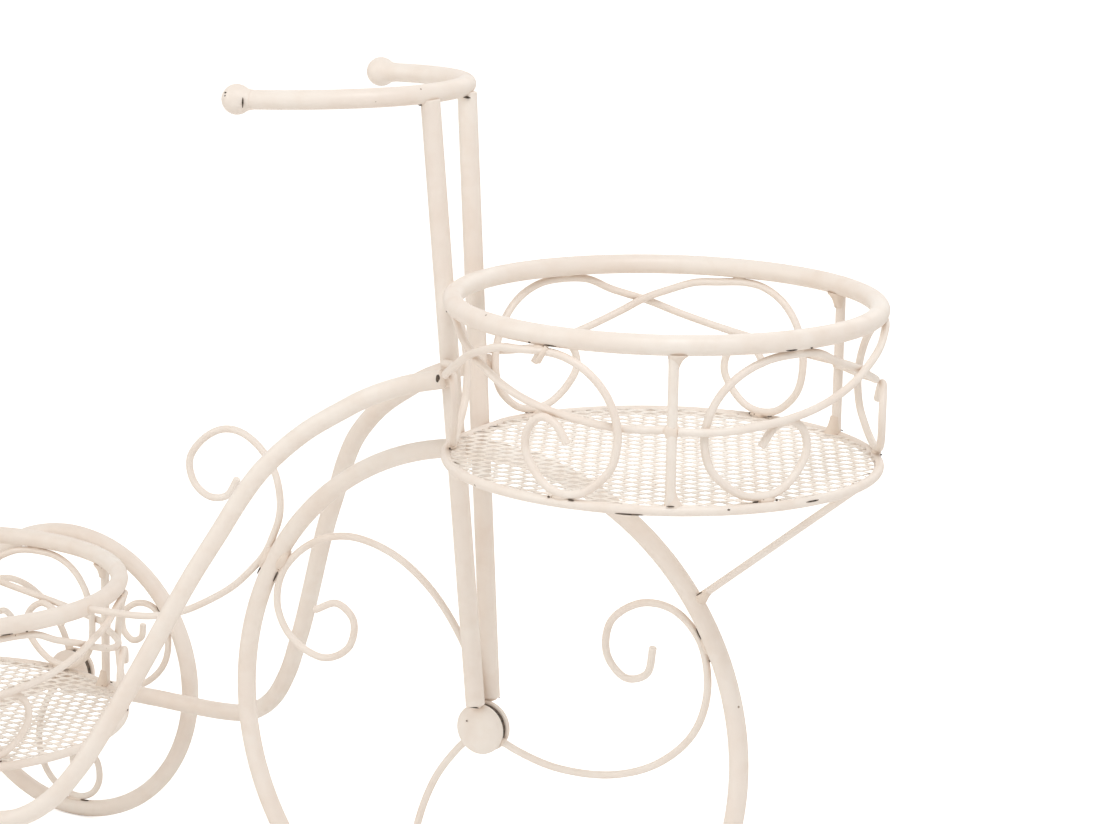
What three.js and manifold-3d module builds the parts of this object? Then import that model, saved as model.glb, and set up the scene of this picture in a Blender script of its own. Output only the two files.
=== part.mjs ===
// Flower cart stand: a painted tube-and-wire tricycle that carries two round plant baskets.
// Millimetres, +Z up, +X towards the front wheel, +Y to the left of the stand, ground at z = 0.
// Inside the model x = 0 is the front hub; the finished group is centred on its footprint.
import * as THREE from 'three';
import Module from 'manifold-3d';
import { mergeVertices } from 'three/addons/utils/BufferGeometryUtils.js';

// Stock
const TUBE = 10; // frame, rim and top ring tube diameter
const WIRE = 4; // scroll and brace wire diameter
const POST = 5; // basket post rod diameter
const TRAY_ROD = 5; // rod round each tray, diameter
const WELD_GAP = 0.3; // clearance where two pieces touch

// Wheels
const FRONT_RIM_RADIUS = 148; // to the tube's centre line
const REAR_RIM_RADIUS = 86;
const WHEELBASE = 362; // front hub to rear axle
const REAR_TRACK = 260; // between the rear rims' planes
const HUB_DISC_DIAMETER = 27;
const HUB_DISC_THICKNESS = 6;
const HUB_DISC_EDGE = 3; // thickness at the disc's rim, before the dome
const HUB_BOSS_DIAMETER = 11; // flat top of the dome
const SPOKE_START = 6; // a spoke's inner end, from the hub's centre

// Fork and handlebar
const FORK_FOOT_SPREAD = 15.6; // between the fork tubes at the hub
const FORK_HEAD_SPREAD = 36;
const FORK_SET_BACK = 0.5; // how far the foot lies behind the hub
const FORK_RAKE = 25.5; // how far the head lies behind the hub
const BAR_HEIGHT = 484.5; // bar's centre line over the fork
const BAR_NOSE = 1; // bar's front ahead of the fork
const BAR_REACH = 83.5; // bar's front to the ball's centre
const BAR_SPREAD = 136; // between the balls
const BAR_DROP = 0.05; // fall of the grips per length
const BALL_DIAMETER = 15.5;

// Baskets
const TOP_RING_RADIUS = 105.5; // centre line
const TRAY_ROD_RADIUS = 108; // centre line
const WALL_RADIUS = 106.2; // posts and scrolls, centre line
const FRONT_BASKET_X = 100.2; // centre, ahead of the hub
const BASKET_HEIGHT = 78.7; // tray rod to top ring, centre lines
const FRONT_TRAY_HEIGHT = 310.6; // front tray rod's centre line
const POST_ANGLE = 60.5; // front posts, from straight ahead
const TRAY_SHEET = 1.6; // tray mesh thickness
const TRAY_LIFT = 1.2; // mesh's middle over the rod's centre line
const BRACE_SLOPE = 39; // degrees from level
const MESH_LONG = 44; // diamond pitch across the stand
const MESH_SHORT = 22; // diamond pitch along the stand
const MESH_STRAND = 4; // strand width, measured along the short way
const MESH_BORDER = 5; // solid edge of the mesh

// Frame rails: profile seen from the side, from the fork to the bottom of the swoop, as distance
// behind the front hub and height above it.
const RAIL_PROFILE = [
  [13, 188], [33, 183], [54, 174.5], [70, 165], [85, 155], [98, 143.5], [109, 131], [118, 116.5],
  [126.5, 99.5], [138.5, 76], [148, 55], [157, 34], [169, 7], [174.5, -4], [186, -26], [202, -47],
  [220, -58.5],
];
const RAIL_LEVEL_START = 240; // behind the hub, where a rail runs level and straight back
const RAIL_SPLAY = 3; // degrees, in plan
const RAIL_LEAN = 17; // degrees, outwards towards the ground

// Centre scroll between the rails: distance behind the place where it touches the front rim and
// height above it, from the bend after the rear basket to the inner tip.
const CENTRE_SCROLL = [
  [76, -46], [54, -40], [37, -31.5], [20, -20.5], [8.5, -9.8], [0, 0], [-5.8, 11.4],
  [-9.8, 23], [-9.8, 35], [-6, 47.5], [3, 58.6], [15, 65.2], [27, 65.2], [40, 57.6],
  [48, 45.6], [45, 33.6], [35, 27.2], [24, 29.2], [17, 39.6],
];
const CENTRE_SCROLL_TOUCH = 62; // degrees round the front rim from its top

// Wheel scroll: share of the radius where it meets the rim, and degrees round the hub.
const FRONT_SCROLL_TURNS = [0, 123, 235.5];
const REAR_SCROLL_TURNS = [0, 120, 240];
const WHEEL_SCROLL = [
  [0.159, 10.3], [0.327, 16.5], [0.547, 25.4], [0.728, 33.8], [0.876, 43], [0.962, 52.4],
  [0.998, 62.6], [0.962, 70.6], [0.865, 76.2], [0.714, 77.6], [0.625, 70], [0.653, 60.6],
  [0.742, 59.7], [0.812, 65.7],
];

// Basket scrolls: degrees round the basket and share of the height between the wire's lowest and
// highest points. An arm, counted from the scroll's start, leads to the loop, which is counted
// back from its furthest point.
const POST_ARM = [
  [9.5, 0.495], [17, 0.505], [25, 0.533], [34.5, 0.575], [44, 0.637], [53, 0.715], [62, 0.81], [72, 0.9],
];
const FORK_ARM = [[26, 0.51], [39, 0.61], [50, 0.74], [57, 0.84], [64, 0.91], [71, 0.97]];
const BASKET_LOOP = [
  [32, 0.985], [23, 1], [16, 0.975], [9, 0.885], [3.5, 0.735], [0.5, 0.55], [0, 0.4],
  [1.5, 0.23], [5, 0.115], [10.5, 0.02], [16.5, 0], [21.5, 0.04], [26.5, 0.16], [29.2, 0.3],
  [28, 0.44], [23.5, 0.53], [19, 0.495], [15, 0.36],
];
const SCROLL_START_SHARE = 0.5;
const POST_LOOP = { furthest: 112.5, width: 1.03 };
const REAR_LOOP = { furthest: 110, width: 0.97 }; // the front posts' scrolls that run back to the fork
const FORK_LOOP = { furthest: 106, width: 0.88 }; // the scrolls that start on the fork
const FORK_ARM_JOIN = 13.8; // degrees from straight behind, where a fork scroll joins the wall

// Facets
const TUBE_SIDES = 8;
const WIRE_SIDES = 6;
const RING_SEGMENTS = 32;
const REAR_RIM_SEGMENTS = 24;
const DISC_SEGMENTS = 16;
const BALL_SEGMENTS = 12;
const BALL_ROWS = 6;
const BAR_STEPS = 22;
const RAIL_STEPS = 28;
const CENTRE_SCROLL_STEPS = 32;
const BASKET_SCROLL_STEPS = 27;
const WHEEL_SCROLL_STEPS = 22;

const tubeRadius = TUBE / 2;
const wireRadius = WIRE / 2;
const hubHeight = FRONT_RIM_RADIUS + tubeRadius;
const axleHeight = REAR_RIM_RADIUS + tubeRadius;
const halfTrack = REAR_TRACK / 2;
const discInner = wireRadius + WELD_GAP;
const discOuter = discInner + HUB_DISC_THICKNESS;
const sides = [{ name: 'left', sign: 1 }, { name: 'right', sign: -1 }];

const paint = new THREE.MeshStandardMaterial({ color: 0xf2e8dc, roughness: 0.45, metalness: 0 });
const stand = new THREE.Group();

const wasm = await Module();
wasm.setup();

function radians(degrees) {
  return THREE.MathUtils.degToRad(degrees);
}

function add(name, geometry, parent = stand) {
  const mesh = new THREE.Mesh(geometry, paint);
  mesh.name = name;
  parent.add(mesh);
  return mesh;
}

// A round section as a polygon with its corners on the true circle.
function section(diameter, count) {
  const corner = diameter / 2;
  const points = [];
  for (let i = 0; i < count; i += 1) {
    const angle = ((i + 0.5) * 2 * Math.PI) / count;
    points.push(new THREE.Vector2(corner * Math.cos(angle), corner * Math.sin(angle)));
  }
  return points;
}

function sweep(curve, diameter, steps, count) {
  const shape = new THREE.Shape(section(diameter, count));
  return new THREE.ExtrudeGeometry(shape, { steps, extrudePath: curve, bevelEnabled: false });
}

function smooth(points) {
  return new THREE.CatmullRomCurve3(points, false, 'centripetal');
}

function rod(from, to, diameter, count) {
  return sweep(new THREE.LineCurve3(from, to), diameter, 1, count);
}

// A closed ring of tube or rod round the Y axis.
function ring(radius, diameter, segments, count) {
  const profile = section(diameter, count).map(
    (point) => new THREE.Vector2(radius + point.x, point.y),
  );
  profile.push(profile[0].clone());
  return new THREE.LatheGeometry(profile, segments, Math.PI / segments);
}

// Presses the rear of a ring or disc round the Y axis flat: back is how far its radius may reach
// there.
function flattenBack(geometry, radius, back) {
  const position = geometry.attributes.position;
  for (let i = 0; i < position.count; i += 1) {
    const angle = Math.atan2(position.getZ(i), position.getX(i));
    const press = Math.max(-back - radius * Math.cos(angle), 0);
    position.setX(i, position.getX(i) + press);
  }
  return geometry;
}

// How far a rim's corners stand out past the true circle.
function rimStretch(segments) {
  return 1 / Math.cos(Math.PI / segments);
}

// A wheel's rim: the ring's flats lie on the true outer circle, so that one of them is the foot.
function rim(radius, segments) {
  const diameter = TUBE / Math.cos(Math.PI / TUBE_SIDES);
  const geometry = ring(radius, diameter, segments, TUBE_SIDES);
  const stretch = rimStretch(segments);
  return geometry.scale(stretch, 1, stretch);
}

// ---- wheels ----

// One domed disc of a hub, with its flat face towards the spokes.
function hubDisc() {
  const radius = HUB_DISC_DIAMETER / 2;
  const dome = HUB_DISC_THICKNESS - HUB_DISC_EDGE;
  const profile = [
    new THREE.Vector2(0, discInner),
    new THREE.Vector2(radius, discInner),
    new THREE.Vector2(radius, discInner + HUB_DISC_EDGE),
    new THREE.Vector2(radius * 0.82, discInner + HUB_DISC_EDGE + dome * 0.7),
    new THREE.Vector2(HUB_BOSS_DIAMETER / 2, discOuter),
    new THREE.Vector2(0, discOuter),
  ];
  return new THREE.LatheGeometry(profile, DISC_SEGMENTS);
}

function wheelScroll(rimRadius, turn) {
  const reach = rimRadius - tubeRadius - wireRadius - WELD_GAP;
  const polar = [[SPOKE_START / reach, 5], ...WHEEL_SCROLL];
  const points = polar.map(([share, degrees]) => {
    const angle = radians(degrees + turn);
    return new THREE.Vector3(-reach * share * Math.sin(angle), 0, reach * share * Math.cos(angle));
  });
  return sweep(smooth(points), WIRE, WHEEL_SCROLL_STEPS, WIRE_SIDES);
}

function addWheel(prefix, suffix, rimRadius, segments, turns, x, y) {
  const wheel = new THREE.Group();
  wheel.position.set(x, y, rimRadius + tubeRadius);
  stand.add(wheel);
  add(`${prefix}_rim${suffix}`, rim(rimRadius, segments), wheel);
  turns.forEach((turn, i) => {
    add(`${prefix}_scroll${suffix}_${i + 1}`, wheelScroll(rimRadius, turn), wheel);
  });
  for (const side of sides) {
    const disc = add(`${prefix}_hub${suffix}_${side.name}`, hubDisc(), wheel);
    if (side.sign < 0) {
      disc.rotation.x = Math.PI;
    }
  }
}

addWheel('front_wheel', '', FRONT_RIM_RADIUS, RING_SEGMENTS, FRONT_SCROLL_TURNS, 0, 0);
for (const side of sides) {
  const y = side.sign * halfTrack;
  const suffix = `_${side.name}`;
  addWheel('rear_wheel', suffix, REAR_RIM_RADIUS, REAR_RIM_SEGMENTS, REAR_SCROLL_TURNS, -WHEELBASE, y);
}

const axleEnd = halfTrack - discOuter - WELD_GAP;
const axleStart = new THREE.Vector3(-WHEELBASE, -axleEnd, axleHeight);
add('rear_axle', rod(axleStart, new THREE.Vector3(-WHEELBASE, axleEnd, axleHeight), TUBE, TUBE_SIDES));

// ---- fork and handlebar ----

const forkLean = Math.atan((FORK_RAKE - FORK_SET_BACK) / (BAR_HEIGHT - hubHeight));
const forkTilt = tubeRadius * Math.sin(forkLean);
const forkFoot = hubHeight + HUB_DISC_DIAMETER / 2 + WELD_GAP + forkTilt;
const forkHead = BAR_HEIGHT - tubeRadius - WELD_GAP - forkTilt;

// The fork tube's centre line at a height.
function forkAt(height, sign) {
  const share = (height - forkFoot) / (forkHead - forkFoot);
  const spread = THREE.MathUtils.lerp(FORK_FOOT_SPREAD, FORK_HEAD_SPREAD, share);
  const behind = THREE.MathUtils.lerp(FORK_SET_BACK, FORK_RAKE, share);
  return new THREE.Vector3(-behind, (sign * spread) / 2, height);
}

function barPoint(x, y) {
  return new THREE.Vector3(x, y, BAR_HEIGHT + BAR_DROP * (x + FORK_RAKE));
}

// Half of the handlebar, from its nose back to a grip.
function barHalf(sign) {
  const nose = BAR_NOSE - FORK_RAKE;
  const halfSpread = (sign * BAR_SPREAD) / 2;
  return new THREE.CubicBezierCurve3(
    barPoint(nose, 0),
    barPoint(nose, halfSpread * 0.57),
    barPoint(nose - BAR_REACH * 0.45, halfSpread * 0.955),
    barPoint(nose - BAR_REACH, halfSpread),
  );
}

const ballSeat = Math.sqrt((BALL_DIAMETER / 2) ** 2 - tubeRadius ** 2);

function addHandlebar() {
  const rightHalf = barHalf(-1);
  const leftHalf = barHalf(1);
  const cut = 1 - (ballSeat + WELD_GAP) / leftHalf.getLength();
  const points = [];
  for (let i = 0; i <= 8; i += 1) {
    points.push(rightHalf.getPointAt(cut * (1 - i / 8)));
  }
  for (let i = 1; i <= 8; i += 1) {
    points.push(leftHalf.getPointAt((cut * i) / 8));
  }
  const bar = smooth(points);
  add('handlebar', sweep(bar, TUBE, BAR_STEPS, TUBE_SIDES));
  for (const side of sides) {
    const end = side.sign > 0 ? 1 : 0;
    const outward = bar.getTangentAt(end).multiplyScalar(side.sign);
    const ball = add(`handlebar_ball_${side.name}`, gripBall());
    ball.position.copy(bar.getPointAt(end)).addScaledVector(outward, ballSeat + WELD_GAP);
    ball.quaternion.setFromUnitVectors(new THREE.Vector3(0, 1, 0), outward);
  }
}

// A ball with a flat seat for the tube's end, on its Y axis.
function gripBall() {
  const profile = [new THREE.Vector2(0, -ballSeat)];
  const start = Math.atan2(-ballSeat, tubeRadius);
  for (let i = 0; i <= BALL_ROWS; i += 1) {
    const angle = THREE.MathUtils.lerp(start, Math.PI / 2, i / BALL_ROWS);
    const radius = i < BALL_ROWS ? (BALL_DIAMETER / 2) * Math.cos(angle) : 0;
    profile.push(new THREE.Vector2(radius, (BALL_DIAMETER / 2) * Math.sin(angle)));
  }
  return new THREE.LatheGeometry(profile, BALL_SEGMENTS);
}

for (const side of sides) {
  const fork = rod(forkAt(forkFoot, side.sign), forkAt(forkHead, side.sign), TUBE, TUBE_SIDES);
  add(`fork_tube_${side.name}`, fork);
}
addHandlebar();

// ---- frame rails ----

const railHead = hubHeight + RAIL_PROFILE[0][1];
const railHeadOut = forkAt(railHead, 1).y + TUBE;

// A rail lies in a plane that splays backwards and leans outwards towards the ground.
function railPoint(behind, height, sign) {
  const splayed = Math.min(behind, RAIL_LEVEL_START) - RAIL_PROFILE[0][0];
  const splay = Math.tan(radians(RAIL_SPLAY)) * splayed;
  const lean = Math.tan(radians(RAIL_LEAN)) * (railHead - height);
  return new THREE.Vector3(-behind, sign * (railHeadOut + splay + lean), height);
}

// The rails' square ends meet the axle.
const railEndGap = tubeRadius + WELD_GAP;

for (const side of sides) {
  const points = RAIL_PROFILE.map(([behind, up]) => railPoint(behind, hubHeight + up, side.sign));
  const end = WHEELBASE - railEndGap;
  for (const share of [0, 0.4, 0.75, 1]) {
    const behind = THREE.MathUtils.lerp(RAIL_LEVEL_START, end, share);
    points.push(railPoint(behind, axleHeight, side.sign));
  }
  add(`frame_rail_${side.name}`, sweep(smooth(points), TUBE, RAIL_STEPS, TUBE_SIDES));
}

// ---- baskets ----

// A point on a basket's wall, or outside it, by degrees round the basket and height.
function basketPoint(basket, degrees, height, out) {
  const radius = WALL_RADIUS + out;
  const angle = radians(degrees);
  return new THREE.Vector3(
    basket.x + radius * Math.cos(angle),
    radius * Math.sin(angle),
    height,
  );
}

// Scrolls of opposite hand cross, so each hand has a lane of its own, inside or outside.
function basketScroll(basket, scroll) {
  const { from, sign, start, arm, loop } = scroll;
  const low = basket.trayHeight + TRAY_ROD / 2 + WELD_GAP + wireRadius;
  const high = basket.trayHeight + BASKET_HEIGHT - tubeRadius - WELD_GAP - wireRadius;
  const lane = sign * (wireRadius + WELD_GAP / 2);
  const curl = BASKET_LOOP.map(([back, share]) => [loop.furthest - back * loop.width, share]);
  const inLane = [...arm, ...curl].map(([degrees, share]) => [degrees, share, lane]);
  const route = [...start(lane), ...inLane];
  const points = route.map(([degrees, share, out]) => {
    const height = THREE.MathUtils.lerp(low, high, share);
    return basketPoint(basket, from + sign * degrees, height, out);
  });
  return sweep(smooth(points), WIRE, BASKET_SCROLL_STEPS, WIRE_SIDES);
}

function addBasket(basket) {
  const topHeight = basket.trayHeight + BASKET_HEIGHT;
  const rodBack = basket.trayBack - TRAY_ROD / 2;
  const trayRod = ring(TRAY_ROD_RADIUS, TRAY_ROD, RING_SEGMENTS, WIRE_SIDES);
  const hoops = [
    ['top_ring', ring(TOP_RING_RADIUS, TUBE, RING_SEGMENTS, TUBE_SIDES), topHeight],
    ['tray_rod', flattenBack(trayRod, TRAY_ROD_RADIUS, rodBack), basket.trayHeight],
  ];
  for (const [name, geometry, height] of hoops) {
    const hoop = add(`${basket.name}_${name}`, geometry);
    hoop.rotation.x = Math.PI / 2;
    hoop.position.set(basket.x, 0, height);
  }
  const tray = add(`${basket.name}_tray`, trayMesh(rodBack));
  tray.position.set(basket.x, 0, basket.trayHeight + TRAY_LIFT);
  const postLow = basket.trayHeight + TRAY_ROD / 2 + WELD_GAP;
  const postHigh = topHeight - tubeRadius - WELD_GAP;
  basket.posts.forEach((degrees, i) => {
    const foot = basketPoint(basket, degrees, postLow, 0);
    const head = basketPoint(basket, degrees, postHigh, 0);
    add(`${basket.name}_post_${i + 1}`, rod(foot, head, POST, TUBE_SIDES));
  });
  basket.scrolls.forEach((scroll, i) => {
    add(`${basket.name}_scroll_${i + 1}`, basketScroll(basket, scroll));
  });
}

function toSolid(geometry) {
  const bare = geometry.clone();
  bare.deleteAttribute('normal');
  bare.deleteAttribute('uv');
  const merged = mergeVertices(bare);
  const mesh = new wasm.Mesh({
    numProp: 3,
    vertProperties: new Float32Array(merged.attributes.position.array),
    triVerts: new Uint32Array(merged.index.array),
  });
  return new wasm.Manifold(mesh);
}

function toGeometry(solid) {
  const mesh = solid.getMesh();
  const geometry = new THREE.BufferGeometry();
  geometry.setAttribute('position', new THREE.BufferAttribute(mesh.vertProperties, 3));
  geometry.setIndex(new THREE.BufferAttribute(mesh.triVerts, 1));
  return geometry;
}

// The middles of the diamond openings: staggered rows, kept clear of the sheet's border.
function diamondCentres(halfShort, halfLong, limit) {
  const rows = Math.ceil(limit / MESH_SHORT) * 2;
  const columns = Math.ceil(limit / MESH_LONG) * 2;
  const centres = [];
  for (let i = -rows; i <= rows; i += 1) {
    for (let j = -columns; j <= columns; j += 1) {
      const x = (i * MESH_SHORT) / 2;
      const y = (j * MESH_LONG) / 2;
      const shortReach = Math.hypot(Math.abs(x) + halfShort, y);
      const longReach = Math.hypot(x, Math.abs(y) + halfLong);
      if ((i + j) % 2 !== 0 && Math.max(shortReach, longReach) < limit) {
        centres.push([x, y]);
      }
    }
  }
  return centres;
}

// Expanded-metal tray: a round sheet with diamond openings, and strands crossing at its centre. Its
// rear edge follows the rod's flat.
function trayMesh(rodBack) {
  const rodSide = Math.sqrt((TRAY_ROD / 2) ** 2 - (TRAY_LIFT - TRAY_SHEET / 2) ** 2);
  const radius = TRAY_ROD_RADIUS - rodSide - WELD_GAP;
  const halfShort = (MESH_SHORT - MESH_STRAND) / 2;
  const halfLong = (halfShort * MESH_LONG) / MESH_SHORT;
  const turn = Math.PI / RING_SEGMENTS;
  const disc = new THREE.CylinderGeometry(radius, radius, TRAY_SHEET, RING_SEGMENTS, 1, false, turn);
  const back = rodBack - rodSide - WELD_GAP;
  let sheet = toSolid(flattenBack(disc, radius, back).rotateX(Math.PI / 2));
  for (const [x, y] of diamondCentres(halfShort, halfLong, Math.min(radius, back) - MESH_BORDER)) {
    const cutter = new THREE.CylinderGeometry(1, 1, TRAY_SHEET * 2, 4).rotateX(Math.PI / 2);
    sheet = sheet.subtract(toSolid(cutter.scale(halfShort, halfLong, 1).translate(x, y, 0)));
  }
  return toGeometry(sheet);
}

// A scroll that starts beside a post.
function postScroll(from, sign, loop = POST_LOOP) {
  const lead = THREE.MathUtils.radToDeg((POST / 2 + WELD_GAP) / WALL_RADIUS);
  const start = (lane) => [[lead, SCROLL_START_SHARE, lane]];
  return { from, sign, start, arm: POST_ARM, loop };
}

// A scroll that starts on the outer side of a fork tube and bends forwards into the basket's wall.
function forkScroll(sign) {
  const fork = forkAt(FRONT_TRAY_HEIGHT + BASKET_HEIGHT / 2, 1);
  const side = fork.y + tubeRadius + WELD_GAP + wireRadius;
  const start = (lane) => {
    const beside = [[0, 0], [tubeRadius + 1, 1.2]].map(([along, out]) => {
      const x = FRONT_BASKET_X - fork.x - along;
      const degrees = THREE.MathUtils.radToDeg(Math.atan2(side + out, x));
      return [degrees, SCROLL_START_SHARE, Math.hypot(x, side + out) - WALL_RADIUS];
    });
    return [...beside, [FORK_ARM_JOIN, SCROLL_START_SHARE, (lane + wireRadius) / 2]];
  };
  return { from: 180, sign, start, arm: FORK_ARM, loop: FORK_LOOP };
}

const frontBasket = {
  name: 'front_basket',
  trayHeight: FRONT_TRAY_HEIGHT,
  x: FRONT_BASKET_X,
  trayBack: FRONT_BASKET_X - forkAt(FRONT_TRAY_HEIGHT, 1).x - tubeRadius / Math.cos(forkLean) - WELD_GAP,
  posts: [POST_ANGLE, -POST_ANGLE],
  scrolls: [
    forkScroll(1),
    forkScroll(-1),
    postScroll(POST_ANGLE, 1, REAR_LOOP),
    postScroll(POST_ANGLE, -1),
    postScroll(-POST_ANGLE, 1),
    postScroll(-POST_ANGLE, -1, REAR_LOOP),
  ],
};

const rearPosts = [POST_ANGLE, -POST_ANGLE, 180];
const rearBasket = {
  name: 'rear_basket',
  trayHeight: axleHeight + tubeRadius + WELD_GAP + TRAY_ROD / 2,
  x: -WHEELBASE,
  trayBack: Infinity,
  posts: rearPosts,
  scrolls: rearPosts.flatMap((degrees) => [postScroll(degrees, 1), postScroll(degrees, -1)]),
};

addBasket(frontBasket);
addBasket(rearBasket);

// ---- brace and centre scroll ----

// The brace runs out from the rim at its own slope and ends on the front of the tray rod.
function addBrace() {
  const slope = radians(BRACE_SLOPE);
  const away = new THREE.Vector3(Math.cos(slope), 0, Math.sin(slope));
  const rodFront = frontBasket.x + TRAY_ROD_RADIUS * Math.cos(Math.PI / RING_SEGMENTS);
  const end = new THREE.Vector3(rodFront, 0, FRONT_TRAY_HEIGHT);
  end.addScaledVector(away, -TRAY_ROD / 2 - WELD_GAP);
  const reach = (FRONT_RIM_RADIUS + tubeRadius) * rimStretch(RING_SEGMENTS) + WELD_GAP;
  const fromHub = end.clone().setZ(end.z - hubHeight);
  const along = fromHub.dot(away);
  const across = Math.sqrt(fromHub.lengthSq() - along ** 2) - wireRadius;
  const start = end.clone().addScaledVector(away, Math.sqrt(reach ** 2 - across ** 2) - along);
  add('basket_brace', rod(start, end, WIRE, TUBE_SIDES));
}

// The centre scroll runs from the front of the rear top ring up to the front rim, then curls back.
function addCentreScroll() {
  const ringFlat = TOP_RING_RADIUS + tubeRadius * Math.cos(Math.PI / TUBE_SIDES);
  const ringFront = ringFlat * Math.cos(Math.PI / RING_SEGMENTS) + WELD_GAP;
  const ringHeight = rearBasket.trayHeight + BASKET_HEIGHT;
  const points = [new THREE.Vector3(rearBasket.x + ringFront, 0, ringHeight)];
  const reach = (FRONT_RIM_RADIUS + tubeRadius) * rimStretch(RING_SEGMENTS) + WELD_GAP + wireRadius;
  const touch = radians(CENTRE_SCROLL_TOUCH);
  for (const [behind, up] of CENTRE_SCROLL) {
    const x = -reach * Math.sin(touch) - behind;
    points.push(new THREE.Vector3(x, 0, hubHeight + reach * Math.cos(touch) + up));
  }
  add('centre_scroll', sweep(smooth(points), WIRE, CENTRE_SCROLL_STEPS, WIRE_SIDES));
}

addBrace();
addCentreScroll();

// ---- origin ----

const footprint = new THREE.Box3().setFromObject(stand, true);
stand.position.x = -(footprint.min.x + footprint.max.x) / 2;

export default stand;
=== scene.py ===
from math import atan, atan2, ceil, cos, degrees, hypot, inf, pi, radians, sin, sqrt, tan

import bmesh
import bpy
from mathutils import Matrix, Vector, noise


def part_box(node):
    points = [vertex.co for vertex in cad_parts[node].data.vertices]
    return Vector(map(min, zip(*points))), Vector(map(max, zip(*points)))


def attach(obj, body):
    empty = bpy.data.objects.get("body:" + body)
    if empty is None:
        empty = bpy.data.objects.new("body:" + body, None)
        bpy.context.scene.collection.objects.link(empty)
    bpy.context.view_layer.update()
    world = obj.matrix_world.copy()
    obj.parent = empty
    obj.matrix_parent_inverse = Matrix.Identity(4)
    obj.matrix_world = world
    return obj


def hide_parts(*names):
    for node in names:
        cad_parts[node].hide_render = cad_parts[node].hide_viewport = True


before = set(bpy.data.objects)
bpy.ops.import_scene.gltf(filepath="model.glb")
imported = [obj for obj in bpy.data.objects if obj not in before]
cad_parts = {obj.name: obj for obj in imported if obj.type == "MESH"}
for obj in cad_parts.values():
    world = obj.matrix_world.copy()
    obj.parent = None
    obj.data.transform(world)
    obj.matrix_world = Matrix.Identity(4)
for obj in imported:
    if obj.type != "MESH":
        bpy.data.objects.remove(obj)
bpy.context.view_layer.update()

mm = 0.001
rimLow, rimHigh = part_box("front_wheel_rim")
hubX = (rimLow.x + rimHigh.x) / 2
scene = bpy.context.scene
bothSides = (("left", 1), ("right", -1))

# diameters of the stock in millimetres; the whole stand is bent from these
stock = {"tube": 10, "wire": 4, "brace": 4, "post": 5, "trayRod": 5}
# faces round each of them, and round what is turned or pressed
facets = {"tube": 24, "wire": 16, "brace": 18, "post": 18, "trayRod": 18, "disc": 48, "ball": 40,
          "flare": 24, "drip": 14}
# millimetres between the cuts along a bend
wireStep, tubeStep = 1.6, 3
tubeRadius = stock["tube"] / 2
wireRadius = stock["wire"] / 2
rodRadius = stock["trayRod"] / 2


def at(x, y, z):
    # millimetres from the front hub on the ground, +x forwards
    return Vector((hubX + x * mm, y * mm, z * mm))


cameraView = {
    "place": (885.8, -1532.0, 721.4),
    "turn": 29.016,
    "down": 12.726,
    "roll": 1.102,
    "lens": 116.43,
}


def placeCamera():
    turn, down, roll = (radians(cameraView[key]) for key in ("turn", "down", "roll"))
    back = Vector((sin(turn) * cos(down), -cos(turn) * cos(down), sin(down)))
    level = Vector((cos(turn), sin(turn), 0))
    upright = back.cross(level)
    across = level * cos(roll) + upright * sin(roll)
    up = upright * cos(roll) - level * sin(roll)
    data = bpy.data.cameras.new("photographView")
    data.lens = cameraView["lens"]
    data.sensor_width = 36
    data.clip_end = 60
    camera = bpy.data.objects.new("photographView", data)
    camera.matrix_world = Matrix((across, up, back)).transposed().to_4x4()
    camera.location = at(*cameraView["place"])
    scene.collection.objects.link(camera)
    scene.camera = camera


placeCamera()
print("camera set")


def linearColour(hexColour):
    channels = [int(hexColour[i:i + 2], 16) / 255 for i in (1, 3, 5)]
    bright = [c / 12.92 if c <= 0.04045 else ((c + 0.055) / 1.055) ** 2.4 for c in channels]
    return (*bright, 1)


def perMetre(sizeInMm):
    return 1 / (sizeInMm * mm)


def newMaterial(name):
    made = bpy.data.materials.new(name)
    made.use_nodes = True
    made.node_tree.nodes.clear()
    return made, made.node_tree


# One node; i3=... sets the input at place 3, for inputs that share a name.
def addNode(tree, kind, settings=None, **inputs):
    made = tree.nodes.new(kind)
    for name, value in (settings or {}).items():
        setattr(made, name, value)
    for name, value in inputs.items():
        numbered = name[0] == "i" and name[1:].isdigit()
        socket = made.inputs[int(name[1:]) if numbered else name]
        if isinstance(value, bpy.types.NodeSocket):
            tree.links.new(value, socket)
        else:
            socket.default_value = value
    return made


def addNoise(tree, place, size, detail):
    made = addNode(tree, "ShaderNodeTexNoise", Vector=place, Scale=perMetre(size), Detail=detail)
    return made.outputs["Fac"]


def addRamp(tree, share, stops):
    made = addNode(tree, "ShaderNodeValToRGB", Fac=share)
    for element, (position, colour) in zip(made.color_ramp.elements, stops):
        element.position = position
        element.color = linearColour(colour)
    return made.outputs["Color"]


# `value` from `low` to `high` becomes `atLow` to `atHigh`.
def remap(tree, value, low, high, atLow, atHigh, kind="LINEAR"):
    made = addNode(tree, "ShaderNodeMapRange", {"interpolation_type": kind}, Value=value, i1=low, i2=high,
                   i3=atLow, i4=atHigh)
    return made.outputs["Result"]


def mixColours(tree, share, under, over):
    made = addNode(tree, "ShaderNodeMix", {"data_type": "RGBA"}, i0=share, i6=under, i7=over)
    return made.outputs["Result"]


def addBump(tree, height, strength, depth, **under):
    made = addNode(tree, "ShaderNodeBump", Strength=strength, Distance=depth * mm, Height=height, **under)
    return made.outputs["Normal"]


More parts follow.
